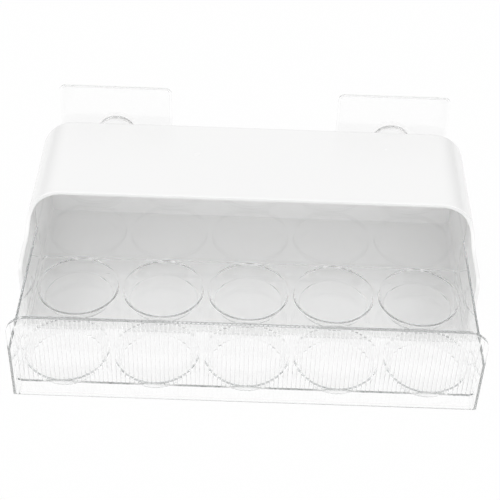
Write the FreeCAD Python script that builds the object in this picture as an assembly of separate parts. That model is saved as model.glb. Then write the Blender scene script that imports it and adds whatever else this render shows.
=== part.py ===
import FreeCAD, Part
import math
import os

# Wall-mounted egg drawer box: a white shell open at the front, a clear drawer
# that slides out of it, a clear two-row egg tray that lifts out of the drawer,
# and two stick-on hook plates whose studs sit in keyholes in the shell's back.
#
# Frame: millimetres, +Z up, the drawer pulls out along -Y, +X to the right.
# The origin is the centre of the shell's underside.

# ---- Egg tray ----
ROWS = 2
COLUMNS = 5
CUP_PITCH = 53.0            # centre to centre, both ways
CUP_MOUTH_R = 24.7
CUP_LEDGE_WIDTH = 0.5       # flat ring between the cone and the bowl
CUP_BOWL_R = 20.4
CUP_LEDGE_DEPTH = 8.5
CUP_FLOOR_R = 8.5
CUP_FLOOR_DEPTH = 11.8
CUP_WALL = 1.4
TRAY_PLATE = 1.8            # thickness of the plate between the cups
TRAY_MARGIN = 1.2           # plate beyond the outermost cups
TRAY_CORNER_R = 3.0

# ---- Drawer ----
TRAY_CLEARANCE = 0.3        # from the tray's plate to the front panel and the back wall
TRAY_SIDE_CLEARANCE = 1.0   # from the tray's plate to each side wall
DRAWER_WALL = 2.0           # of the front panel and the back wall
DRAWER_SIDE_WALL = 1.3
DRAWER_FLOOR = 1.8
DRAWER_SIDE_HEIGHT = 40.3   # of the low side walls, from the drawer's underside
DRAWER_BOTTOM_R = 4.0       # outside corner between floor and side walls
SILL_R = 5.0                # outside corner between floor and front panel
FRONT_HEIGHT = 65.6         # of the front panel
FRONT_CORNER_R = 13.0       # upper corners of the front panel
FLUTE_PITCH = 2.5
FLUTE_HEIGHT = 0.3
FLUTE_BORDER = 2.6          # plain strip at each end of the flutes
RUNNER_HEIGHT = 0.4
RUNNER_WIDTH = 3.0
RUNNER_OFFSET = 90.0        # of each runner from the middle
DRAWER_PULL = 59.4          # how far the drawer stands open at rest

# ---- Shell ----
DRAWER_CLEARANCE = 1.0      # round the drawer's back wall, sides and top
SHELL_WALL = 2.5
SHELL_HEIGHT = 76.0
SHELL_TOP_R = 22.2
SHELL_BOTTOM_R = 6.0
SHELL_BACK_ROUND = 1.5
BACK_GAP = 2.4              # behind the shut drawer, for the stud heads
FRONT_PROUD = 0.6           # how far the shut drawer stands out of the shell
HOOD_DEPTH = 72.7           # of the roof, from the back
CHEEK_HEIGHT = 51.4         # of the side walls in front of the roof
CHEEK_CORNER_R = 5.0
CHEEK_SWEEP_R = 19.0        # inside curve from the cheek up to the roof

# ---- Hook plates ----
HOOK_SPACING = 179.0        # from one stud to the other
STUD_HEIGHT = 66.4          # above the shell's underside
STUD_NECK_R = 3.5
STUD_HEAD_R = 6.5
STUD_HEAD_THICKNESS = 1.3
STUD_CLEARANCE = 0.2
BOSS_R = 13.0
BOSS_THICKNESS = 3.5
SHEET_WIDTH = 72.0
SHEET_HEIGHT = 70.0
SHEET_THICKNESS = 1.2
SHEET_CORNER_R = 4.0
FILM_MARGIN = 1.5           # sheet left bare round the adhesive
FILM_THICKNESS = 0.8
KEYHOLE_CLEARANCE = 0.4     # radial, round the neck and round the head
UNHOOK_TRAVEL = 10.0        # from the slot's end down to the round hole

# ---- Places that follow from the sizes ----
TRAY_HALF_WIDTH = (COLUMNS - 1) / 2 * CUP_PITCH + CUP_MOUTH_R + TRAY_MARGIN
TRAY_HALF_DEPTH = (ROWS - 1) / 2 * CUP_PITCH + CUP_MOUTH_R + TRAY_MARGIN
TRAY_HEIGHT = CUP_FLOOR_DEPTH + CUP_WALL

DRAWER_HALF_WIDTH = TRAY_HALF_WIDTH + TRAY_SIDE_CLEARANCE + DRAWER_SIDE_WALL
DRAWER_HALF_DEPTH = TRAY_HALF_DEPTH + TRAY_CLEARANCE + DRAWER_WALL
DRAWER_BOTTOM = SHELL_WALL + RUNNER_HEIGHT
TRAY_TOP = DRAWER_BOTTOM + DRAWER_FLOOR + TRAY_HEIGHT

SHELL_HALF_WIDTH = DRAWER_HALF_WIDTH + DRAWER_CLEARANCE + SHELL_WALL
SHELL_DEPTH = 2 * DRAWER_HALF_DEPTH + FLUTE_HEIGHT - FRONT_PROUD + BACK_GAP + SHELL_WALL
SHELL_FRONT = -SHELL_DEPTH / 2
SHELL_BACK = SHELL_DEPTH / 2
BACK_INNER = SHELL_BACK - SHELL_WALL
HOOD_FRONT = SHELL_BACK - HOOD_DEPTH

DRAWER_BACK = BACK_INNER - BACK_GAP - DRAWER_PULL
DRAWER_CENTRE = DRAWER_BACK - DRAWER_HALF_DEPTH
DRAWER_FRONT = DRAWER_CENTRE - DRAWER_HALF_DEPTH
BACK_WALL_TOP = SHELL_HEIGHT - SHELL_WALL - DRAWER_CLEARANCE
BACK_WALL_CORNER_R = SHELL_TOP_R - SHELL_WALL - DRAWER_CLEARANCE

BOSS_BACK = SHELL_BACK + BOSS_THICKNESS
SHEET_BACK = BOSS_BACK + SHEET_THICKNESS

CUT_OVERSHOOT = 5.0         # how far a cutting solid runs past what it cuts


def vec(x, y, z):
    return FreeCAD.Vector(x, y, z)


def arc_about(place, centre_a, centre_b, radius, start_deg, end_deg):
    """Arc in a plane; place(a, b) turns the plane's coordinates into a point."""
    points = []
    for angle in (start_deg, (start_deg + end_deg) / 2, end_deg):
        turn = math.radians(angle)
        points.append(place(centre_a + radius * math.cos(turn), centre_b + radius * math.sin(turn)))
    return Part.Arc(*points).toShape()


def joined(edges):
    """Close a run of edges into a face, with straight lines across its gaps."""
    outline = []
    for edge, following in zip(edges, edges[1:] + edges[:1]):
        outline.append(edge)
        end = edge.valueAt(edge.LastParameter)
        start = following.valueAt(following.FirstParameter)
        if end.distanceToPoint(start) > 1e-6:
            outline.append(Part.LineSegment(end, start).toShape())
    return Part.Face(Part.Wire(outline))


def rounded_outline(low_a, high_a, low_b, high_b, low_r, high_r, place):
    """Rectangle with one corner radius at the low b side and one at the high."""
    return joined([
        arc_about(place, low_a + low_r, low_b + low_r, low_r, 180, 270),
        arc_about(place, high_a - low_r, low_b + low_r, low_r, 270, 360),
        arc_about(place, high_a - high_r, high_b - high_r, high_r, 0, 90),
        arc_about(place, low_a + high_r, high_b - high_r, high_r, 90, 180),
    ])


def upright_slab(half_width, bottom, top, bottom_r, top_r, front, back):
    """Rounded outline seen from the front, from y=front to y=back."""
    face = rounded_outline(-half_width, half_width, bottom, top, bottom_r, top_r,
                           lambda x, z: vec(x, front, z))
    return face.extrude(vec(0, back - front, 0))


def box(low, high):
    return Part.makeBox(high[0] - low[0], high[1] - low[1], high[2] - low[2], vec(*low))


def edges_where(shape, test):
    return [edge for edge in shape.Edges if test(edge)]


def disc(x, z, radius, front, back):
    return Part.makeCylinder(radius, back - front, vec(x, front, z), vec(0, 1, 0))


# ---- Shell ----

def front_step_cutter():
    """What is cut away in front of the roof: the cheeks' outline from the side."""
    reach = SHELL_HALF_WIDTH + CUT_OVERSHOOT

    def place(y, z):
        return vec(-reach, y, z)

    ahead = SHELL_FRONT - CUT_OVERSHOOT
    above = SHELL_HEIGHT + CUT_OVERSHOOT
    corner_low = CHEEK_HEIGHT - CHEEK_CORNER_R
    top_line = Part.LineSegment(place(HOOD_FRONT, above), place(ahead, above)).toShape()
    low_line = Part.LineSegment(place(ahead, corner_low), place(SHELL_FRONT, corner_low)).toShape()
    cheek_corner = arc_about(place, SHELL_FRONT + CHEEK_CORNER_R, corner_low, CHEEK_CORNER_R, 180, 90)
    sweep = arc_about(place, HOOD_FRONT - CHEEK_SWEEP_R, CHEEK_HEIGHT + CHEEK_SWEEP_R,
                      CHEEK_SWEEP_R, 270, 360)
    face = joined([low_line, cheek_corner, sweep, top_line])
    return face.extrude(vec(2 * reach, 0, 0))


def keyhole(x):
    """Slot for the stud's neck, and below it the hole that its head passes."""
    front = BACK_INNER - CUT_OVERSHOOT
    back = SHELL_BACK + CUT_OVERSHOOT
    neck_r = STUD_NECK_R + KEYHOLE_CLEARANCE
    hole_z = STUD_HEIGHT - UNHOOK_TRAVEL
    slot = box((x - neck_r, front, hole_z), (x + neck_r, back, STUD_HEIGHT))
    slot_end = disc(x, STUD_HEIGHT, neck_r, front, back)
    entry = disc(x, hole_z, STUD_HEAD_R + KEYHOLE_CLEARANCE, front, back)
    return slot.fuse([slot_end, entry])


def make_shell():
    outer = upright_slab(SHELL_HALF_WIDTH, 0, SHELL_HEIGHT, SHELL_BOTTOM_R, SHELL_TOP_R,
                         SHELL_FRONT, SHELL_BACK)
    back_edges = edges_where(outer, lambda edge: edge.BoundBox.YMin > SHELL_BACK - 1e-3)
    outer = outer.makeFillet(SHELL_BACK_ROUND, back_edges)
    cavity = upright_slab(SHELL_HALF_WIDTH - SHELL_WALL, SHELL_WALL, SHELL_HEIGHT - SHELL_WALL,
                          SHELL_BOTTOM_R - SHELL_WALL, SHELL_TOP_R - SHELL_WALL,
                          SHELL_FRONT - CUT_OVERSHOOT, BACK_INNER)
    shell = outer.cut(cavity).cut(front_step_cutter())
    return shell.cut([keyhole(-HOOK_SPACING / 2), keyhole(HOOK_SPACING / 2)])


# ---- Drawer ----

def flute_sheet():
    """Row of upright half-round ribs that stand out of the front panel's face."""
    half_run = DRAWER_HALF_WIDTH - FLUTE_BORDER
    count = int(2 * half_run / FLUTE_PITCH)
    start = -count * FLUTE_PITCH / 2
    face_y = DRAWER_FRONT
    bottom = TRAY_TOP
    ribs = []
    for index in range(count):
        left = start + index * FLUTE_PITCH
        ribs.append(Part.Arc(vec(left, face_y, bottom),
                             vec(left + FLUTE_PITCH / 2, face_y - FLUTE_HEIGHT, bottom),
                             vec(left + FLUTE_PITCH, face_y, bottom)).toShape())
    rear = face_y + DRAWER_WALL / 2
    corners = [vec(-start, face_y, bottom), vec(-start, rear, bottom),
               vec(start, rear, bottom), vec(start, face_y, bottom)]
    sides = [Part.LineSegment(a, b).toShape() for a, b in zip(corners, corners[1:])]
    profile = Part.Face(Part.Wire(ribs + sides))
    return profile.extrude(vec(0, 0, FRONT_HEIGHT))


def sill_block(half_width, front, bottom, radius):
    """What a piece is crossed with to round the edge under its front."""
    back = DRAWER_BACK + CUT_OVERSHOOT
    top = BACK_WALL_TOP + CUT_OVERSHOOT

    def place(y, z):
        return vec(-half_width, y, z)

    sill = arc_about(place, front + radius, bottom + radius, radius, 180, 270)
    upper_back = Part.LineSegment(place(back, bottom), place(back, top)).toShape()
    upper_front = Part.LineSegment(place(back, top), place(front, top)).toShape()
    return joined([sill, upper_back, upper_front]).extrude(vec(2 * half_width, 0, 0))


def make_drawer():
    bottom = DRAWER_BOTTOM
    side_top = bottom + DRAWER_SIDE_HEIGHT
    front_top = bottom + FRONT_HEIGHT
    floor_top = bottom + DRAWER_FLOOR
    inner_half = DRAWER_HALF_WIDTH - DRAWER_SIDE_WALL
    inner_front = DRAWER_FRONT + DRAWER_WALL
    inner_back = DRAWER_BACK - DRAWER_WALL

    tub = upright_slab(DRAWER_HALF_WIDTH, bottom, side_top + DRAWER_BOTTOM_R, DRAWER_BOTTOM_R,
                       DRAWER_BOTTOM_R, DRAWER_FRONT, DRAWER_BACK)
    tub = tub.common(box((-DRAWER_HALF_WIDTH, DRAWER_FRONT, bottom),
                         (DRAWER_HALF_WIDTH, DRAWER_BACK, side_top)))
    back_wall = upright_slab(DRAWER_HALF_WIDTH, bottom, BACK_WALL_TOP, DRAWER_BOTTOM_R,
                             BACK_WALL_CORNER_R, inner_back, DRAWER_BACK)
    front_outline = upright_slab(DRAWER_HALF_WIDTH, bottom, front_top, DRAWER_BOTTOM_R,
                                 FRONT_CORNER_R, DRAWER_FRONT - FLUTE_HEIGHT, inner_front)
    panel = front_outline.common(box((-DRAWER_HALF_WIDTH, DRAWER_FRONT, bottom),
                                     (DRAWER_HALF_WIDTH, inner_front, front_top)))
    flutes = flute_sheet().common(front_outline)
    inner_r = DRAWER_BOTTOM_R - DRAWER_SIDE_WALL
    hollow = upright_slab(inner_half, floor_top, side_top + CUT_OVERSHOOT, inner_r, inner_r,
                          inner_front, inner_back)
    hollow = hollow.common(sill_block(inner_half, inner_front, floor_top, SILL_R - DRAWER_WALL))
    outside = sill_block(DRAWER_HALF_WIDTH, DRAWER_FRONT, bottom, SILL_R)
    body = tub.cut(hollow).fuse([back_wall, panel]).common(outside).fuse(flutes)
    runners = [box((side * RUNNER_OFFSET - RUNNER_WIDTH / 2, DRAWER_FRONT + SILL_R, SHELL_WALL),
                   (side * RUNNER_OFFSET + RUNNER_WIDTH / 2, inner_back, floor_top))
               for side in (-1, 1)]
    return body.fuse(runners).removeSplitter()


# ---- Egg tray ----

def cup_profile():
    """Half section of one cup, (radius, height) with the plate's top at zero."""
    outer_mouth_r = CUP_MOUTH_R + CUP_WALL / 2
    corners = [
        (outer_mouth_r, 0),
        (CUP_MOUTH_R, 0),
        (CUP_BOWL_R + CUP_LEDGE_WIDTH, -CUP_LEDGE_DEPTH),
        (CUP_BOWL_R, -CUP_LEDGE_DEPTH),
        (CUP_FLOOR_R, -CUP_FLOOR_DEPTH),
        (0, -CUP_FLOOR_DEPTH),
        (0, -TRAY_HEIGHT),
        (CUP_FLOOR_R, -TRAY_HEIGHT),
        (CUP_BOWL_R + CUP_WALL / 2, -CUP_LEDGE_DEPTH - CUP_WALL),
        (outer_mouth_r, -TRAY_PLATE),
    ]
    points = [vec(r, 0, z) for r, z in corners + corners[:1]]
    return Part.Face(Part.makePolygon(points))


def make_tray():
    plate_bottom = TRAY_TOP - TRAY_PLATE
    plate = rounded_outline(-TRAY_HALF_WIDTH, TRAY_HALF_WIDTH,
                            DRAWER_CENTRE - TRAY_HALF_DEPTH, DRAWER_CENTRE + TRAY_HALF_DEPTH,
                            TRAY_CORNER_R, TRAY_CORNER_R,
                            lambda x, y: vec(x, y, plate_bottom)).extrude(vec(0, 0, TRAY_PLATE))
    cup = cup_profile().revolve(vec(0, 0, 0), vec(0, 0, 1), 360)
    cups = []
    holes = []
    for row in range(ROWS):
        for column in range(COLUMNS):
            x = (column - (COLUMNS - 1) / 2) * CUP_PITCH
            y = DRAWER_CENTRE + (row - (ROWS - 1) / 2) * CUP_PITCH
            cups.append(cup.translated(vec(x, y, TRAY_TOP)))
            holes.append(Part.makeCylinder(CUP_MOUTH_R + CUP_WALL / 4, TRAY_PLATE,
                                           vec(x, y, plate_bottom)))
    return plate.cut(holes).fuse(cups).removeSplitter()


# ---- Hook plates ----

def make_stud(x):
    """Boss against the shell's back, a neck through its wall and a head inside."""
    boss = disc(x, STUD_HEIGHT, BOSS_R, SHELL_BACK, BOSS_BACK)
    head_back = BACK_INNER - STUD_CLEARANCE
    head_front = head_back - STUD_HEAD_THICKNESS
    neck = disc(x, STUD_HEIGHT, STUD_NECK_R, head_front, SHELL_BACK + BOSS_THICKNESS / 2)
    head = disc(x, STUD_HEIGHT, STUD_HEAD_R, head_front, head_back)
    return boss.fuse([neck, head]).removeSplitter()


def make_plate(x, half_width, half_height, corner_r, front, back):
    face = rounded_outline(x - half_width, x + half_width,
                           STUD_HEIGHT - half_height, STUD_HEIGHT + half_height,
                           corner_r, corner_r, lambda a, z: vec(a, front, z))
    return face.extrude(vec(0, back - front, 0))


def make_sheet(x):
    return make_plate(x, SHEET_WIDTH / 2, SHEET_HEIGHT / 2, SHEET_CORNER_R, BOSS_BACK, SHEET_BACK)


def make_film(x):
    return make_plate(x, SHEET_WIDTH / 2 - FILM_MARGIN, SHEET_HEIGHT / 2 - FILM_MARGIN,
                      SHEET_CORNER_R - FILM_MARGIN, SHEET_BACK, SHEET_BACK + FILM_THICKNESS)


def main():
    nodes = {
        "housing_shell": make_shell(),
        "drawer_body": make_drawer(),
        "egg_tray": make_tray(),
    }
    for side, x in (("left", -HOOK_SPACING / 2), ("right", HOOK_SPACING / 2)):
        nodes["hook_stud_" + side] = make_stud(x)
        nodes["hook_sheet_" + side] = make_sheet(x)
        nodes["adhesive_film_" + side] = make_film(x)
    os.makedirs("parts", exist_ok=True)
    for name, shape in nodes.items():
        shape.exportStep("parts/" + name + ".step")
        print(name, "solids", len(shape.Solids), "valid", shape.isValid(),
              "volume", round(shape.Volume))


main()
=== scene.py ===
import math

import bmesh
import bpy
from mathutils import Matrix, Vector


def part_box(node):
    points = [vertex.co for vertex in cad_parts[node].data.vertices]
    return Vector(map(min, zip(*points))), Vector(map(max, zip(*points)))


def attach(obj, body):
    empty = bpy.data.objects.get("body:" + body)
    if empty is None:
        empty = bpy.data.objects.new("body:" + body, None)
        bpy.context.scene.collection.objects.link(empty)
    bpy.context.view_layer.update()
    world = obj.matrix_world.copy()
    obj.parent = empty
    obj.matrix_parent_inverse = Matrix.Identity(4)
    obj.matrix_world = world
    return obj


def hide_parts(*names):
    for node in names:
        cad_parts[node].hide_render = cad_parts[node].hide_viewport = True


# Visual model of the wall-mounted egg drawer box: finer meshes for the shell,
# the drawer, the egg tray and the hook plates, set on the CAD nodes' places.
# Metres, +Z up, the drawer pulls out along -Y.

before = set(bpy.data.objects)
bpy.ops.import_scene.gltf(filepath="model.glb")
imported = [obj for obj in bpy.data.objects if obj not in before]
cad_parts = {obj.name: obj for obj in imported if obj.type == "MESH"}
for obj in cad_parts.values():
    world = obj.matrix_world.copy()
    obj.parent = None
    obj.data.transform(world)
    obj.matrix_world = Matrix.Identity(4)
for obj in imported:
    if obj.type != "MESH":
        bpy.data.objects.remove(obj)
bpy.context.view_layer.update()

MM = 0.001
SAME_POINT = 0.001 * MM     # points this close are one point in a mesh
SEAM_GAP = 0.003 * MM       # the same, after a cut or a join
TOUCH_GAP = 0.03 * MM       # keeps faces that meet from lying in one plane
SHARP_DEG = 35              # edges that turn more than this are shaded sharp

# ---- Places read from the CAD parts in model.glb ----
SHELL_LOW, SHELL_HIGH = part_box("housing_shell")
DRAWER_LOW, DRAWER_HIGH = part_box("drawer_body")
TRAY_LOW, TRAY_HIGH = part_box("egg_tray")

# ---- Shell ----
SHELL_WALL = 2.5 * MM
SHELL_TOP_R = 22.2 * MM
SHELL_BOTTOM_R = 6 * MM
SHELL_BACK_ROUND = 1.5 * MM
HOOD_DEPTH = 72.7 * MM
CHEEK_HEIGHT = 51.4 * MM
CHEEK_CORNER_R = 5 * MM
CHEEK_SWEEP_R = 19 * MM
LIP_R = 0.7 * MM            # rounding of the shell's open edge
HOOD_FRONT = SHELL_HIGH.y - HOOD_DEPTH

# ---- Drawer ----
DRAWER_WALL = 2 * MM        # of the front panel and the back wall
DRAWER_SIDE_WALL = 1.3 * MM
DRAWER_FLOOR = 1.8 * MM
DRAWER_BOTTOM_R = 4 * MM
SILL_R = 5 * MM             # outside corner between floor and front panel
SILL_SHORT_DEG = 2          # the sill's cut ends this short of the flat faces
DRAWER_EDGE_R = 0.3 * MM    # rounding of the front panel's and back wall's edges
SIDE_EDGE_R = 0.6 * MM      # rounding of the side walls' top
RUNNER_HEIGHT = 0.4 * MM
RUNNER_WIDTH = 3 * MM
RUNNER_OFFSET = 90 * MM
SIDE_HEIGHT = 40.3 * MM
FRONT_HEIGHT = 65.6 * MM
FRONT_CORNER_R = 13 * MM
BACK_CORNER_R = 18.7 * MM
FLUTE_PITCH = 2.5 * MM
FLUTE_HEIGHT = 0.3 * MM
FLUTE_LAND = 0.66           # share of the pitch that is flat, between two grooves
FLUTE_BORDER = 2.6 * MM
DRAWER_BOTTOM = DRAWER_LOW.z + RUNNER_HEIGHT

# ---- Egg tray ----
CUP_PITCH = 53 * MM
ROWS = 2
COLUMNS = 5
CUP_MOUTH_R = 24.7 * MM
CUP_SHOULDER_R = 1.7 * MM   # rounding from the plate's top into the cone
CUP_UNDER_R = 0.4 * MM      # the same rounding on the underside
CUP_LEDGE_WIDTH = 0.5 * MM
CUP_LEDGE_DEPTH = 8.5 * MM
CUP_BOWL_R = 20.4 * MM
CUP_BOWL_DEPTH = 3.3 * MM   # of the bowl below the ledge
CUP_WALL = 1.4 * MM
TRAY_PLATE = 1.8 * MM
TRAY_CORNER_R = 3 * MM
TRAY_EDGE_R = 0.4 * MM      # rounding of the plate's rim
CUP_SEGMENTS = 96
TRAY_TOP = TRAY_HIGH.z
TRAY_CENTRE = (TRAY_LOW + TRAY_HIGH) / 2

# ---- Hook plates ----
STUD_HEAD_R = 6.5 * MM
STUD_HEAD_THICKNESS = 1.3 * MM
STUD_HEAD_FRONT_ROUND = 0.4 * MM
STUD_HEAD_BACK_ROUND = 0.3 * MM
STUD_NECK_R = 3.5 * MM
STUD_NECK_ROUND = 0.2 * MM  # at both ends of the neck
STUD_SEGMENTS = 72
BOSS_R = 13 * MM
BOSS_THICKNESS = 3.5 * MM
BOSS_FRONT_ROUND = 1.7 * MM
BOSS_BACK_ROUND = 0.8 * MM
SHEET_CORNER_R = 4 * MM
SHEET_EDGE_R = 0.25 * MM
FILM_CORNER_R = 2.5 * MM
KEYHOLE_CLEARANCE = 0.4 * MM
UNHOOK_TRAVEL = 10 * MM

# ---- Camera and light ----
CAMERA_PLACE = Vector((-0.0018, -0.6103, 0.5649))
CAMERA_PITCH = math.radians(39.88)
CAMERA_YAW = math.radians(0.19)
CAMERA_ROLL = math.radians(2.11)
CAMERA_LENS = 91.5
CAMERA_SENSOR = 36
CAMERA_SHIFT = (-0.0034, -0.083)
CAMERA_REACH = 20
LAMPS = (("left", (-0.95, -0.1, 1.2), 3.4), ("right", (0.95, -0.1, 1.2), 3.0))
LAMP_AIM = (0, -0.03, 0.03)
LAMP_SIZE = 0.7
FLOOR_HALF = 6.0            # half the side of the white floor
FLOOR_DROP = 0.2 * MM       # how far the floor lies below the shell's underside
FLOOR_GREY = (0.9, 0.9, 0.9, 1)
FLOOR_ROUGHNESS = 0.9
FLOOR_GLOW = 0.97           # share of plain white in the floor that is seen
TABLE_EDGE = 0.6            # how far the white table shows in gloss
TABLE_FADE = 0.1            # and how far past that it has faded
ROOM_LIGHT_SIDE = (-0.1, -1, 0)   # where most of the room's soft light is from
ROOM_LIGHT_FRONT = 1.1
ROOM_LIGHT_BACK = 0.5
ROOM_DARK = 0.1             # brightness of the room near the horizon, in gloss
ROOM_DARK_BELOW = 0.2       # rise of the view where the dark band ends
ROOM_WHITE_ABOVE = 0.5
WHITE = (1, 1, 1, 1)

# ---- Plastics ----
PLASTIC_IOR = 1.5
SHELL_WHITE = (0.92, 0.92, 0.918, 1)
SHELL_ROUGHNESS = (0.20, 0.30)
SHELL_WAVE = 0.06 * MM
LIGHT_LOSS = 0.005          # of soft light, at each face of a clear piece
CLEAR_TINT = (0.80, 0.81, 0.81, 1)
WALL_BOUNCES = 200          # light runs far inside clear walls
SOFT_BOUNCES = 12
STRAIGHT_FACES = 32         # clear faces that soft light may pass


# ---------------------------------------------------------------- mesh tools

def arc(centre, radius, start_deg, end_deg, steps):
    """Points on an arc in a plane, ends included."""
    points = []
    for step in range(steps + 1):
        turn = math.radians(start_deg + (end_deg - start_deg) * step / steps)
        points.append((centre[0] + radius * math.cos(turn), centre[1] + radius * math.sin(turn)))
    return points


def rounded_rectangle(left, right, bottom, top, bottom_r, top_r, steps=10):
    """Closed outline, anticlockwise from its lower left corner."""
    return (arc((left + bottom_r, bottom + bottom_r), bottom_r, 180, 270, steps)
            + arc((right - bottom_r, bottom + bottom_r), bottom_r, 270, 360, steps)
            + arc((right - top_r, top - top_r), top_r, 0, 90, steps)
            + arc((left + top_r, top - top_r), top_r, 90, 180, steps))


def fillet(corners, radii, steps=4, closed=False):
    """A run of straight lines in a plane with its corners rounded."""
    points = []
    count = len(corners)
    for index, (corner, radius) in enumerate(zip(corners, radii)):
        if radius == 0 or (not closed and index in (0, count - 1)):
            points.append(tuple(corner))
            continue
        here = Vector(corner)
        back = (Vector(corners[index - 1]) - here)
        ahead = (Vector(corners[(index + 1) % count]) - here)
        half = back.angle(ahead) / 2
        reach = radius / math.tan(half)
        reach = min(reach, 0.49 * back.length, 0.49 * ahead.length)
        radius = reach * math.tan(half)
        centre = here + (back.normalized() + ahead.normalized()).normalized() * radius / math.sin(half)
        start = here + back.normalized() * reach - centre
        end = here + ahead.normalized() * reach - centre
        sweep = start.angle_signed(end)
        for step in range(steps + 1):
            turn = -sweep * step / steps
            offset = Matrix.Rotation(turn, 2) @ start
            points.append(tuple(centre + offset))
    return points


def make_object(name, mesh, material, body, node):
    """Link a mesh, shade it, and let it stand for a CAD node."""
    mesh.set_sharp_from_angle(angle=math.radians(SHARP_DEG))
    piece = bpy.data.objects.new(name, mesh)
    bpy.context.scene.collection.objects.link(piece)
    mesh.materials.clear()
    mesh.materials.append(material)
    weighted = piece.modifiers.new("even shading", "WEIGHTED_NORMAL")
    weighted.keep_sharp = True
    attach(piece, body)
    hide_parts(node)
    return piece


def mesh_from(build, name):
    """A mesh made by build(bm), with doubles merged and normals outward."""
    bm = bmesh.new()
    build(bm)
    bmesh.ops.remove_doubles(bm, verts=bm.verts, dist=SAME_POINT)
    bmesh.ops.recalc_face_normals(bm, faces=bm.faces)
    for face in bm.faces:
        face.smooth = True
    mesh = bpy.data.meshes.new(name)
    bm.to_mesh(mesh)
    bm.free()
    return mesh


def add_loft(bm, rings):
    """Quads between closed rings of equally many points, with flat ends."""
    loops = [[bm.verts.new(point) for point in ring] for ring in rings]
    for low, high in zip(loops, loops[1:]):
        for index in range(len(low)):
            following = (index + 1) % len(low)
            bm.faces.new([low[index], low[following], high[following], high[index]])
    bm.faces.new(list(reversed(loops[0])))
    bm.faces.new(loops[-1])


def slab_rings(outline, front, back, edge_r, steps=3):
    """Rings of an upright slab; outline(inset) gives its (x, z) points."""
    rings = []
    for step in range(steps + 1):
        turn = math.radians(90 * step / steps)
        inset = edge_r * (1 - math.sin(turn))
        rings.append([(x, front + edge_r * (1 - math.cos(turn)), z) for x, z in outline(inset)])
    for step in range(steps + 1):
        turn = math.radians(90 * step / steps)
        inset = edge_r * (1 - math.cos(turn))
        rings.append([(x, back - edge_r * (1 - math.sin(turn)), z) for x, z in outline(inset)])
    return rings


def combine(base, others, operation):
    """The base mesh joined to, or cut by, the other meshes; all are used up."""
    piece = bpy.data.objects.new("base", base)
    bpy.context.scene.collection.objects.link(piece)
    helpers = []
    for other in others:
        helper = bpy.data.objects.new("helper", other)
        bpy.context.scene.collection.objects.link(helper)
        helpers.append(helper)
        modifier = piece.modifiers.new("join", "BOOLEAN")
        modifier.operation = operation
        modifier.solver = "EXACT"
        modifier.object = helper
    bpy.context.view_layer.update()
    graph = bpy.context.evaluated_depsgraph_get()
    result = bpy.data.meshes.new_from_object(piece.evaluated_get(graph))
    for helper in helpers + [piece]:
        bpy.data.objects.remove(helper)
    bm = bmesh.new()
    bm.from_mesh(result)
    bmesh.ops.remove_doubles(bm, verts=bm.verts, dist=SEAM_GAP)
    bmesh.ops.dissolve_degenerate(bm, edges=bm.edges, dist=SEAM_GAP)
    bm.to_mesh(result)
    bm.free()
    return result


# ---------------------------------------------------------------- materials

class Nodes:
    """Short way to add shader nodes to a tree and link them."""

    def __init__(self, tree):
        self.tree = tree

    def add(self, kind, **settings):
        node = self.tree.nodes.new(kind)
        for key, value in settings.items():
            setattr(node, key, value)
        return node

    def link(self, source, target):
        self.tree.links.new(source, target)

    def calculate(self, operation, first, second):
        """One operation on two sockets, or on a socket and a number."""
        step = self.add("ShaderNodeMath", operation=operation)
        self.link(first, step.inputs[0])
        if isinstance(second, float):
            step.inputs[1].default_value = second
        else:
            self.link(second, step.inputs[1])
        return step.outputs[0]

    def spread(self, source, low, high, from_low=0, from_high=1):
        """The source's value between two limits mapped to low..high."""
        scaled = self.add("ShaderNodeMapRange")
        scaled.inputs["From Min"].default_value = from_low
        scaled.inputs["From Max"].default_value = from_high
        scaled.inputs["To Min"].default_value = low
        scaled.inputs["To Max"].default_value = high
        self.link(source, scaled.inputs["Value"])
        return scaled.outputs["Result"]

    def mix(self, share, first, second, target):
        """Two shaders mixed, and put on the output's socket."""
        mixed = self.add("ShaderNodeMixShader")
        self.link(share, mixed.inputs["Fac"])
        self.link(first.outputs[0], mixed.inputs[1])
        self.link(second.outputs[0], mixed.inputs[2])
        self.link(mixed.outputs[0], target)


class MaterialNodes(Nodes):
    """The nodes of one new material."""

    def __init__(self, name, colour):
        self.material = bpy.data.materials.new(name)
        self.material.use_nodes = True
        super().__init__(self.material.node_tree)
        self.surface = self.tree.nodes["Principled BSDF"]
        self.output = self.tree.nodes["Material Output"]
        self.surface.inputs["Base Color"].default_value = colour

    def noise(self, scale, detail=2.0):
        place = self.add("ShaderNodeTexCoord")
        noise = self.add("ShaderNodeTexNoise")
        noise.inputs["Scale"].default_value = scale
        noise.inputs["Detail"].default_value = detail
        self.link(place.outputs["Object"], noise.inputs["Vector"])
        return noise.outputs["Fac"]

    def roughness(self, scale, low, high):
        self.link(self.spread(self.noise(scale), low, high), self.surface.inputs["Roughness"])

    def waves(self, scale, height):
        bump = self.add("ShaderNodeBump")
        bump.inputs["Strength"].default_value = 1.0
        bump.inputs["Distance"].default_value = height
        self.link(self.noise(scale, 1.0), bump.inputs["Height"])
        self.link(bump.outputs["Normal"], self.surface.inputs["Normal"])

    def absorb(self, density):
        """Light fades along its path inside the piece."""
        inside = self.add("ShaderNodeVolumeAbsorption")
        inside.inputs["Color"].default_value = CLEAR_TINT
        inside.inputs["Density"].default_value = density
        self.link(inside.outputs[0], self.output.inputs["Volume"])

    def let_light_through(self, loss):
        """Soft light passes straight through, as it does through real clear
        walls; the eye still sees refraction and gloss."""
        path = self.add("ShaderNodeLightPath")
        clear = self.add("ShaderNodeBsdfTransparent")
        clear.inputs["Color"].default_value = (1 - loss, 1 - loss, 1 - loss, 1)
        soft = self.calculate("MAXIMUM", path.outputs["Is Shadow Ray"], path.outputs["Is Diffuse Ray"])
        self.mix(soft, self.surface, clear, self.output.inputs["Surface"])


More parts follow.
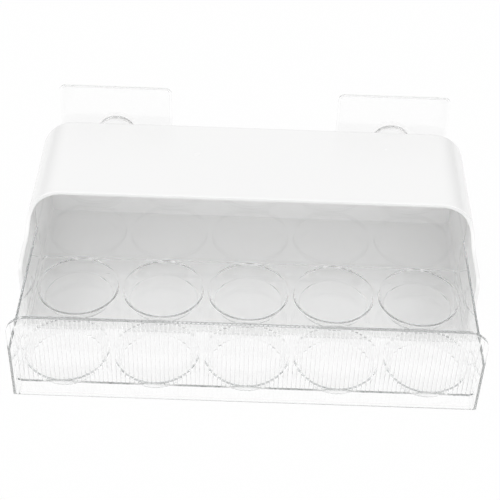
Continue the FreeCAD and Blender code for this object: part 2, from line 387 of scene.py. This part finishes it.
def shell_material():
    """Glossy white moulded plastic with faint waviness and handling wear."""
    nodes = MaterialNodes("shell_white_plastic", SHELL_WHITE)
    nodes.surface.inputs["IOR"].default_value = PLASTIC_IOR
    nodes.roughness(60, *SHELL_ROUGHNESS)
    nodes.waves(25, SHELL_WAVE)
    return nodes.material


def clear_material(name, rough_low, rough_high, wave_height, density):
    """Clear moulded plastic: real refraction, slight flow marks and haze."""
    nodes = MaterialNodes(name, WHITE)
    nodes.surface.inputs["IOR"].default_value = PLASTIC_IOR
    nodes.surface.inputs["Transmission Weight"].default_value = 1.0
    nodes.roughness(90, rough_low, rough_high)
    nodes.waves(40, wave_height)
    nodes.let_light_through(LIGHT_LOSS)
    nodes.absorb(density)
    return nodes.material


# ---------------------------------------------------------------- shell

def shell_outline(inset):
    """Half of the shell's outline, from the bottom's middle to the roof's
    middle, as (x, z, front edge y, edge direction y, edge direction z)."""
    flat_steps = 8
    cheek_steps = 6
    corner_steps = 8
    sweep_steps = 24
    shoulder_steps = 12
    half = SHELL_HIGH.x - inset
    bottom = SHELL_LOW.z + inset
    top = SHELL_HIGH.z - inset
    low_r = SHELL_BOTTOM_R - inset
    top_r = SHELL_TOP_R - inset
    front = SHELL_LOW.y
    arc_low = SHELL_HIGH.z - SHELL_TOP_R
    sweep_y = HOOD_FRONT - CHEEK_SWEEP_R
    sweep_z = CHEEK_HEIGHT + CHEEK_SWEEP_R
    corner_z = CHEEK_HEIGHT - CHEEK_CORNER_R
    ahead = (front, -1.0, 0.0)
    hood = (HOOD_FRONT, -1.0, 0.0)

    def side_x(z):
        if z <= arc_low:
            return half
        return half - top_r + math.sqrt(max(top_r ** 2 - (z - arc_low) ** 2, 0))

    points = [((half - low_r) * step / flat_steps, bottom) + ahead for step in range(flat_steps)]
    points += [place + ahead for place in arc((half - low_r, bottom + low_r), low_r, 270, 360, 8)]
    points += [(half, SHELL_BOTTOM_R + (corner_z - SHELL_BOTTOM_R) * step / cheek_steps) + ahead
               for step in range(1, cheek_steps)]
    for step in range(corner_steps + 1):
        turn = math.radians(90 * step / corner_steps)
        y = front + CHEEK_CORNER_R * (1 - math.cos(turn))
        z = corner_z + CHEEK_CORNER_R * math.sin(turn)
        points.append((side_x(z), z, y, -math.cos(turn), math.sin(turn)))
    flat_start = front + CHEEK_CORNER_R
    for step in range(1, cheek_steps):
        y = flat_start + (sweep_y - flat_start) * step / cheek_steps
        points.append((side_x(CHEEK_HEIGHT), CHEEK_HEIGHT, y, 0.0, 1.0))
    for step in range(sweep_steps + 1):
        turn = math.radians(90 * step / sweep_steps)
        y = sweep_y + CHEEK_SWEEP_R * math.sin(turn)
        z = sweep_z - CHEEK_SWEEP_R * math.cos(turn)
        points.append((side_x(z), z, y, -math.sin(turn), math.cos(turn)))
    sweep_end = math.degrees(math.asin((sweep_z - arc_low) / top_r))
    shoulder = arc((half - top_r, arc_low), top_r, sweep_end, 90, shoulder_steps)
    points += [place + hood for place in shoulder[1:]]
    points += [((half - top_r) * (1 - step / flat_steps), top) + hood
               for step in range(1, flat_steps + 1)]
    return points


def whole_outline(inset):
    """The half outline and its mirror image, as one closed loop."""
    half = shell_outline(inset)
    return half + [(-x, z, y, along_y, along_z)
                   for x, z, y, along_y, along_z in reversed(half[1:-1])]


def build_shell(bm):
    """Rings from the inside of the back, round the lip, to the outside."""
    lip_steps = 4
    back_steps = 6
    outer = whole_outline(0)
    inner = whole_outline(SHELL_WALL)
    back_inner = SHELL_HIGH.y - SHELL_WALL
    inside_turns = []
    outside_turns = []
    for low, high in zip(inner, outer):
        across = Vector((high[0] - low[0], 0, high[1] - low[1])).normalized() * LIP_R
        start = Vector((low[0], low[2], low[1]))
        end = Vector((high[0], high[2], high[1]))
        inside_turns.append((start, -across, Vector((0, low[3], low[4])) * LIP_R))
        outside_turns.append((end, across, Vector((0, high[3], high[4])) * LIP_R))
    rings = [[(x, back_inner, z) for x, z, *_ in inner]]
    for turns, first, last in ((inside_turns, 0, 90), (outside_turns, 90, 0)):
        for step in range(lip_steps + 1):
            turn = math.radians(first + (last - first) * step / lip_steps)
            rings.append([corner - outward * (1 - math.cos(turn)) - ahead * (1 - math.sin(turn))
                          for corner, outward, ahead in turns])
    for step in range(back_steps + 1):
        turn = math.radians(90 * step / back_steps)
        inset = SHELL_BACK_ROUND * (1 - math.cos(turn))
        back = SHELL_HIGH.y - SHELL_BACK_ROUND * (1 - math.sin(turn))
        rings.append([(x, back, z) for x, z, *_ in whole_outline(inset)])
    add_loft(bm, rings)


def keyhole_cutter(x, z):
    """Slot for the stud's neck and, below it, the hole that its head passes."""
    neck = STUD_NECK_R + KEYHOLE_CLEARANCE
    head = STUD_HEAD_R + KEYHOLE_CLEARANCE
    hole_z = z - UNHOOK_TRAVEL
    open_deg = math.degrees(math.asin(neck / head))
    outline = arc((x, z), neck, 0, 180, 16)
    outline += arc((x, hole_z), head, 90 + open_deg, 450 - open_deg, 40)
    front = SHELL_HIGH.y - 2 * SHELL_WALL
    back = SHELL_HIGH.y + SHELL_WALL

    def build(bm):
        add_loft(bm, [[(a, y, b) for a, b in outline] for y in (front, back)])

    return mesh_from(build, "keyhole")


def make_shell(material):
    body = mesh_from(build_shell, "shell")
    cutters = []
    for side in ("left", "right"):
        low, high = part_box("hook_stud_" + side)
        centre = (low + high) / 2
        cutters.append(keyhole_cutter(centre.x, centre.z))
    mesh = combine(body, cutters, "DIFFERENCE")
    return make_object("shell", mesh, material, "housing", "housing_shell")


# ---------------------------------------------------------------- drawer

def flute_stations():
    """x places across the front panel, with the land's height at each."""
    groove_steps = 4
    corner_steps = 32
    half = DRAWER_HIGH.x
    count = int(2 * (half - FLUTE_BORDER) / FLUTE_PITCH)
    start = -count * FLUTE_PITCH / 2
    groove = (1 - FLUTE_LAND) / 2
    profile = []
    for step in range(groove_steps + 1):
        turn = math.radians(90 * step / groove_steps)
        profile.append((groove * (1 - math.cos(turn)), FLUTE_HEIGHT * math.sin(turn)))
    profile += [(1 - across, height) for across, height in reversed(profile)]
    stations = {}
    for index in range(count):
        for across, height in profile:
            stations[round(start + FLUTE_PITCH * (index + across), 7)] = height
    for step in range(1, corner_steps + 1):
        turn = math.radians(90 * step / corner_steps)
        x = half - FRONT_CORNER_R * (1 - math.sin(turn))
        if half - x < FLUTE_BORDER:
            stations[round(-x, 7)] = 0.0
            stations[round(x, 7)] = 0.0
    return sorted(stations.items())


def round_in(reach, start, radius):
    """How far a rounded corner has drawn back, past its start."""
    across = max(reach - start, 0)
    return radius - math.sqrt(max(radius ** 2 - across ** 2, 0))


def build_front_panel(bm):
    """One ring round the panel's section at each station along x."""
    half = DRAWER_HIGH.x
    face = DRAWER_LOW.y + FLUTE_HEIGHT
    rear = face + DRAWER_WALL
    top = DRAWER_BOTTOM + FRONT_HEIGHT
    edge = DRAWER_EDGE_R
    rings = []
    for x, height in flute_stations():
        reach = abs(x)
        upper = top - round_in(reach, half - FRONT_CORNER_R, FRONT_CORNER_R)
        lower = DRAWER_BOTTOM + round_in(reach, half - DRAWER_BOTTOM_R, DRAWER_BOTTOM_R)
        shrink = round_in(reach, half - edge, edge)
        front = face + shrink
        back = rear - shrink
        section = [(front, lower + edge), (front, TRAY_TOP), (front - height, TRAY_TOP)]
        section += arc((front - height + edge, upper - edge), edge, 180, 90, 4)
        section += arc((back - edge, upper - edge), edge, 90, 0, 4)
        section += arc((back - edge, lower + edge), edge, 0, -90, 3)
        section += arc((front + edge, lower + edge), edge, 270, 180, 3)[:-1]
        rings.append([(x, y, z) for y, z in section])
    add_loft(bm, rings)


def build_tub(bm):
    """Floor, side walls and runners as one section, run from front to back."""
    half = DRAWER_HIGH.x - TOUCH_GAP
    bottom = DRAWER_BOTTOM + TOUCH_GAP
    side_top = DRAWER_BOTTOM + SIDE_HEIGHT
    wall = DRAWER_SIDE_WALL
    outer_r = DRAWER_BOTTOM_R
    inner_r = DRAWER_BOTTOM_R - DRAWER_SIDE_WALL
    floor = DRAWER_BOTTOM + DRAWER_FLOOR
    runner_low = DRAWER_LOW.z + TOUCH_GAP
    corners = [(-half, side_top), (-half, bottom)]
    radii = [SIDE_EDGE_R, outer_r]
    for side in (-1, 1):
        left = side * RUNNER_OFFSET - RUNNER_WIDTH / 2
        right = left + RUNNER_WIDTH
        corners += [(left, bottom), (left, runner_low), (right, runner_low), (right, bottom)]
        radii += [0, 0, 0, 0]
    corners += [(half, bottom), (half, side_top), (half - wall, side_top), (half - wall, floor),
                (-half + wall, floor), (-half + wall, side_top)]
    radii += [outer_r, SIDE_EDGE_R, SIDE_EDGE_R, inner_r, inner_r, SIDE_EDGE_R]
    outline = fillet(corners, radii, 6, closed=True)
    front = DRAWER_LOW.y + FLUTE_HEIGHT + DRAWER_WALL / 2
    back = DRAWER_HIGH.y - DRAWER_WALL / 2
    add_loft(bm, [[(x, y, z) for x, z in outline] for y in (front, back)])


def build_back_wall(bm):
    half = DRAWER_HIGH.x
    top = DRAWER_HIGH.z

    def outline(inset):
        return rounded_rectangle(-half + inset, half - inset, DRAWER_BOTTOM + inset, top - inset,
                                 DRAWER_BOTTOM_R - inset, BACK_CORNER_R - inset, 16)

    add_loft(bm, slab_rings(outline, DRAWER_HIGH.y - DRAWER_WALL, DRAWER_HIGH.y, DRAWER_EDGE_R))


def bar_along_x(outline, half_width, name):
    """A solid bar with the given (y, z) outline."""
    def build(bm):
        add_loft(bm, [[(x, y, z) for y, z in outline] for x in (-half_width, half_width)])

    return mesh_from(build, name)


def sill_cutter():
    """What is cut off the drawer's lower front edge to round it."""
    face = DRAWER_LOW.y + FLUTE_HEIGHT
    centre = (face + SILL_R, DRAWER_BOTTOM + SILL_R)
    below = DRAWER_LOW.z - MM
    outline = arc(centre, SILL_R, 180 + SILL_SHORT_DEG, 270 - SILL_SHORT_DEG, 10)
    outline += [(centre[0], below), (face - MM, below), (face - MM, centre[1])]
    return bar_along_x(outline, DRAWER_HIGH.x + MM, "sill_cutter")


def sill_cove():
    """Fills the inside corner where the floor meets the front panel."""
    radius = SILL_R - DRAWER_WALL
    bury = DRAWER_SIDE_WALL / 2
    y = DRAWER_LOW.y + FLUTE_HEIGHT + DRAWER_WALL
    z = DRAWER_BOTTOM + DRAWER_FLOOR
    outline = arc((y + radius, z + radius), radius, 180, 270, 8)
    outline += [(y + radius, z - bury), (y - bury, z - bury), (y - bury, z + radius)]
    return bar_along_x(outline, DRAWER_HIGH.x - DRAWER_BOTTOM_R, "sill_cove")


def make_drawer(material):
    panel = mesh_from(build_front_panel, "front_panel")
    parts = [mesh_from(build_tub, "tub"), mesh_from(build_back_wall, "back_wall"), sill_cove()]
    mesh = combine(panel, parts, "UNION")
    mesh = combine(mesh, [sill_cutter()], "DIFFERENCE")
    return make_object("drawer", mesh, material, "drawer", "drawer_body")


# ---------------------------------------------------------------- egg tray

def bowl_arc(edge_r, edge_z, steps=12):
    """A round bowl from its edge to its lowest point, as (radius, height)."""
    ball_r = (edge_r ** 2 + CUP_BOWL_DEPTH ** 2) / (2 * CUP_BOWL_DEPTH)
    points = []
    for step in range(steps + 1):
        radius = edge_r * (1 - step / steps)
        points.append((radius, edge_z + ball_r - CUP_BOWL_DEPTH - math.sqrt(ball_r ** 2 - radius ** 2)))
    return points


def cup_surface(drop, mouth_r, shoulder_r, steps, edge_r, edge_z, bowl_r):
    """Rounded shoulder, cone and bowl as (radius, height) points, with a flat
    ledge between where the cone ends outside the bowl."""
    far_out = (2 * CUP_MOUTH_R, -drop)
    corners = [far_out, (mouth_r, -drop), (edge_r, edge_z)]
    points = fillet(corners, [0, shoulder_r, 0], steps)[1:]
    if edge_r == bowl_r:
        points.pop()
    return points + bowl_arc(bowl_r, edge_z)


def cup_section():
    """The cup's upper and lower surface in section, from the plate inward, as
    (radius, height) from the plate's top."""
    under_mouth = CUP_MOUTH_R + CUP_WALL / 2
    under_bowl = CUP_BOWL_R + CUP_WALL / 2
    under_ledge = -CUP_LEDGE_DEPTH - CUP_WALL + TOUCH_GAP
    upper = cup_surface(0, CUP_MOUTH_R, CUP_SHOULDER_R, 10,
                        CUP_BOWL_R + CUP_LEDGE_WIDTH, -CUP_LEDGE_DEPTH, CUP_BOWL_R)
    lower = cup_surface(TRAY_PLATE, under_mouth, CUP_UNDER_R, 5,
                        under_bowl, under_ledge, under_bowl)
    return upper, lower


def add_cup_surface(bm, centre, half_x, half_y, section):
    """One cell of the tray: rings of the section out to the cell's edges. A
    last small flat face stands for the bowl's lowest point."""
    steps = CUP_SEGMENTS // 4
    edge = []
    for side in range(4):
        for index in range(steps):
            lean = math.tan(math.pi / 4 * (2 * index / steps - 1))
            square = Matrix.Rotation(math.pi / 2 * side, 2) @ Vector((1, lean))
            edge.append((centre.x + square.x * half_x[square.x > 0],
                         centre.y + square.y * half_y[square.y > 0],
                         TRAY_TOP + section[0][1]))
    rings = [edge]
    for radius, height in section[:-1]:
        ring = []
        for index in range(CUP_SEGMENTS):
            turn = 2 * math.pi * index / CUP_SEGMENTS - math.pi / 4
            ring.append((centre.x + radius * math.cos(turn),
                         centre.y + radius * math.sin(turn), TRAY_TOP + height))
        rings.append(ring)
    loops = [[bm.verts.new(point) for point in ring] for ring in rings]
    for outer, inner in zip(loops, loops[1:]):
        for index in range(CUP_SEGMENTS):
            following = (index + 1) % CUP_SEGMENTS
            bm.faces.new([outer[index], outer[following], inner[following], inner[index]])
    bm.faces.new(loops[-1])


def round_tray_corners(bm):
    """Draw the plate's four corners in to their radius."""
    half = (TRAY_HIGH - TRAY_LOW) / 2
    for vertex in bm.verts:
        from_centre = vertex.co - TRAY_CENTRE
        dx = abs(from_centre.x) - (half.x - TRAY_CORNER_R)
        dy = abs(from_centre.y) - (half.y - TRAY_CORNER_R)
        if dx > 0 and dy > 0:
            pull = 1 - max(dx, dy) / math.hypot(dx, dy)
            vertex.co.x -= math.copysign(dx * pull, from_centre.x)
            vertex.co.y -= math.copysign(dy * pull, from_centre.y)


def build_tray(bm):
    half = (TRAY_HIGH - TRAY_LOW) / 2
    inside = CUP_PITCH / 2
    outside_x = half.x - (COLUMNS - 1) / 2 * CUP_PITCH
    outside_y = half.y - (ROWS - 1) / 2 * CUP_PITCH
    upper, lower = cup_section()
    for column in range(COLUMNS):
        for row in range(ROWS):
            centre = Vector((TRAY_CENTRE.x + (column - (COLUMNS - 1) / 2) * CUP_PITCH,
                             TRAY_CENTRE.y + (row - (ROWS - 1) / 2) * CUP_PITCH))
            half_x = (outside_x if column == 0 else inside,
                      outside_x if column == COLUMNS - 1 else inside)
            half_y = (outside_y if row == 0 else inside,
                      outside_y if row == ROWS - 1 else inside)
            add_cup_surface(bm, centre, half_x, half_y, upper)
            add_cup_surface(bm, centre, half_x, half_y, lower)
    bmesh.ops.remove_doubles(bm, verts=bm.verts, dist=SAME_POINT)
    rim = [edge for edge in bm.edges if edge.is_boundary]
    bmesh.ops.bridge_loops(bm, edges=rim)
    bmesh.ops.recalc_face_normals(bm, faces=bm.faces)
    bmesh.ops.bevel(bm, geom=rim, offset=TRAY_EDGE_R, segments=3, affect="EDGES", profile=0.5)
    round_tray_corners(bm)


def make_tray(material):
    return make_object("tray", mesh_from(build_tray, "tray"), material, "tray", "egg_tray")


# ---------------------------------------------------------------- hook plates

def make_stud(side, material):
    """Turned boss, neck and head, about an axis along y."""
    low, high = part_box("hook_stud_" + side)
    centre = (low + high) / 2
    boss_front = high.y - BOSS_THICKNESS + TOUCH_GAP
    head_back = low.y + STUD_HEAD_THICKNESS
    corners = [(0, low.y), (STUD_HEAD_R, low.y), (STUD_HEAD_R, head_back), (STUD_NECK_R, head_back),
               (STUD_NECK_R, boss_front), (BOSS_R, boss_front), (BOSS_R, high.y), (0, high.y)]
    radii = [0, STUD_HEAD_FRONT_ROUND, STUD_HEAD_BACK_ROUND, STUD_NECK_ROUND,
             STUD_NECK_ROUND, BOSS_FRONT_ROUND, BOSS_BACK_ROUND, 0]
    section = fillet(corners, radii, 5)[1:-1]
    turns = [2 * math.pi * step / STUD_SEGMENTS for step in range(STUD_SEGMENTS)]

    def build(bm):
        add_loft(bm, [[(centre.x + radius * math.cos(turn), y, centre.z + radius * math.sin(turn))
                       for turn in turns] for radius, y in section])

    mesh = mesh_from(build, "stud_" + side)
    return make_object("stud_" + side, mesh, material, "hook_" + side, "hook_stud_" + side)


def make_plate(piece_name, node, side, corner_r, edge_r, material):
    """A thin upright plate with rounded corners and edges."""
    low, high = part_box(node)

    def outline(inset):
        return rounded_rectangle(low.x + inset, high.x - inset, low.z + inset, high.z - inset,
                                 corner_r - inset, corner_r - inset, 12)

    def build(bm):
        add_loft(bm, slab_rings(outline, low.y + TOUCH_GAP, high.y, edge_r))

    mesh = mesh_from(build, piece_name)
    return make_object(piece_name, mesh, material, "hook_" + side, node)


# ---------------------------------------------------------------- stage

def make_floor():
    """White floor that still takes the object's shadow. It looks plain white
    to the camera, and near the object in glossy and clear pieces too."""
    floor_mesh = bpy.data.meshes.new("floor")
    corners = [(x, y, SHELL_LOW.z - FLOOR_DROP)
               for x, y in ((-FLOOR_HALF, -FLOOR_HALF), (FLOOR_HALF, -FLOOR_HALF),
                            (FLOOR_HALF, FLOOR_HALF), (-FLOOR_HALF, FLOOR_HALF))]
    floor_mesh.from_pydata(corners, [], [(0, 1, 2, 3)])
    floor = bpy.data.objects.new("floor", floor_mesh)
    bpy.context.scene.collection.objects.link(floor)

    nodes = MaterialNodes("floor_white", FLOOR_GREY)
    nodes.surface.inputs["Roughness"].default_value = FLOOR_ROUGHNESS
    nodes.surface.inputs["Specular IOR Level"].default_value = 0.0
    glow = nodes.add("ShaderNodeEmission")
    glow.inputs["Color"].default_value = WHITE
    glow.inputs["Strength"].default_value = 1.0
    path = nodes.add("ShaderNodeLightPath")
    place = nodes.add("ShaderNodeNewGeometry")
    reach = nodes.add("ShaderNodeVectorMath", operation="LENGTH")
    nodes.link(place.outputs["Position"], reach.inputs[0])
    near = nodes.spread(reach.outputs["Value"], 1, 0, TABLE_EDGE, TABLE_EDGE + TABLE_FADE)
    in_gloss = nodes.calculate("MAXIMUM", path.outputs["Is Glossy Ray"], path.outputs["Is Transmission Ray"])
    near_in_gloss = nodes.calculate("MULTIPLY", in_gloss, near)
    seen = nodes.calculate("MAXIMUM", near_in_gloss, path.outputs["Is Camera Ray"])
    share = nodes.calculate("MULTIPLY", seen, FLOOR_GLOW)
    nodes.mix(share, nodes.surface, glow, nodes.output.inputs["Surface"])
    floor_mesh.materials.append(nodes.material)


def make_world():
    """White to the camera; a white ceiling over a dark band in glossy and
    clear surfaces; as light, brighter from the front than from the back."""
    world = bpy.data.worlds.new("studio")
    world.use_nodes = True
    bpy.context.scene.world = world
    nodes = Nodes(world.node_tree)
    lit = world.node_tree.nodes["Background"]
    seen = nodes.add("ShaderNodeBackground")
    direction = nodes.add("ShaderNodeTexCoord").outputs["Generated"]
    path = nodes.add("ShaderNodeLightPath")

    toward = nodes.add("ShaderNodeVectorMath", operation="DOT_PRODUCT")
    toward.inputs[1].default_value = ROOM_LIGHT_SIDE
    nodes.link(direction, toward.inputs[0])
    soft = nodes.spread(toward.outputs["Value"], ROOM_LIGHT_BACK, ROOM_LIGHT_FRONT, -1, 1)

    parts = nodes.add("ShaderNodeSeparateXYZ")
    nodes.link(direction, parts.inputs[0])
    gloss = nodes.spread(parts.outputs["Z"], ROOM_DARK, 1, ROOM_DARK_BELOW, ROOM_WHITE_ABOVE)
    shown = nodes.calculate("MAXIMUM", gloss, path.outputs["Is Camera Ray"])

    for background, strength in ((lit, soft), (seen, shown)):
        background.inputs["Color"].default_value = WHITE
        nodes.link(strength, background.inputs["Strength"])
    in_gloss = nodes.calculate("MAXIMUM", path.outputs["Is Glossy Ray"], path.outputs["Is Transmission Ray"])
    share = nodes.calculate("MAXIMUM", in_gloss, path.outputs["Is Camera Ray"])
    nodes.mix(share, lit, seen, world.node_tree.nodes["World Output"].inputs["Surface"])


def make_lamp(name, place, power):
    data = bpy.data.lights.new(name, "AREA")
    data.shape = "DISK"
    data.size = LAMP_SIZE
    data.energy = power
    lamp = bpy.data.objects.new(name, data)
    bpy.context.scene.collection.objects.link(lamp)
    lamp.location = place
    lamp.rotation_euler = (Vector(LAMP_AIM) - Vector(place)).to_track_quat("-Z", "Y").to_euler()


def make_camera():
    data = bpy.data.cameras.new("camera")
    data.sensor_width = CAMERA_SENSOR
    data.lens = CAMERA_LENS
    data.shift_x, data.shift_y = CAMERA_SHIFT
    data.clip_end = CAMERA_REACH
    camera = bpy.data.objects.new("camera", data)
    bpy.context.scene.collection.objects.link(camera)
    turn = (Matrix.Rotation(-CAMERA_YAW, 4, "Z")
            @ Matrix.Rotation(math.pi / 2 - CAMERA_PITCH, 4, "X")
            @ Matrix.Rotation(CAMERA_ROLL, 4, "Z"))
    camera.matrix_world = Matrix.Translation(CAMERA_PLACE) @ turn
    bpy.context.scene.camera = camera


def allow_clear_walls():
    """Light crosses up to a dozen clear faces here, and runs inside the walls,
    so it needs more bounces than the default."""
    cycles = bpy.context.scene.cycles
    cycles.max_bounces = WALL_BOUNCES
    cycles.diffuse_bounces = SOFT_BOUNCES
    cycles.glossy_bounces = WALL_BOUNCES
    cycles.transmission_bounces = WALL_BOUNCES
    cycles.transparent_max_bounces = STRAIGHT_FACES


def main():
    # Clear plastics: roughness from and to, height of the waves, density.
    white = shell_material()
    drawer_clear = clear_material("drawer_clear_plastic", 0.0, 0.02, 0.003 * MM, 11)
    tray_clear = clear_material("tray_clear_plastic", 0.0, 0.02, 0.003 * MM, 40)
    stud_clear = clear_material("stud_clear_plastic", 0.03, 0.08, 0.02 * MM, 1)
    sheet_clear = clear_material("sheet_clear_plastic", 0.0, 0.03, 0.003 * MM, 1)
    film_clear = clear_material("film_clear_adhesive", 0.0, 0.02, 0.001 * MM, 1)

    make_shell(white)
    make_drawer(drawer_clear)
    make_tray(tray_clear)
    for side in ("left", "right"):
        make_stud(side, stud_clear)
        sheet = make_plate("sheet_" + side, "hook_sheet_" + side, side,
                           SHEET_CORNER_R, SHEET_EDGE_R, sheet_clear)
        film = make_plate("film_" + side, "adhesive_film_" + side, side,
                          FILM_CORNER_R, SHEET_EDGE_R, film_clear)

    make_floor()
    make_world()
    for name, place, power in LAMPS:
        make_lamp(name, place, power)
    make_camera()
    bpy.context.scene.view_settings.view_transform = "Standard"
    allow_clear_walls()


main()
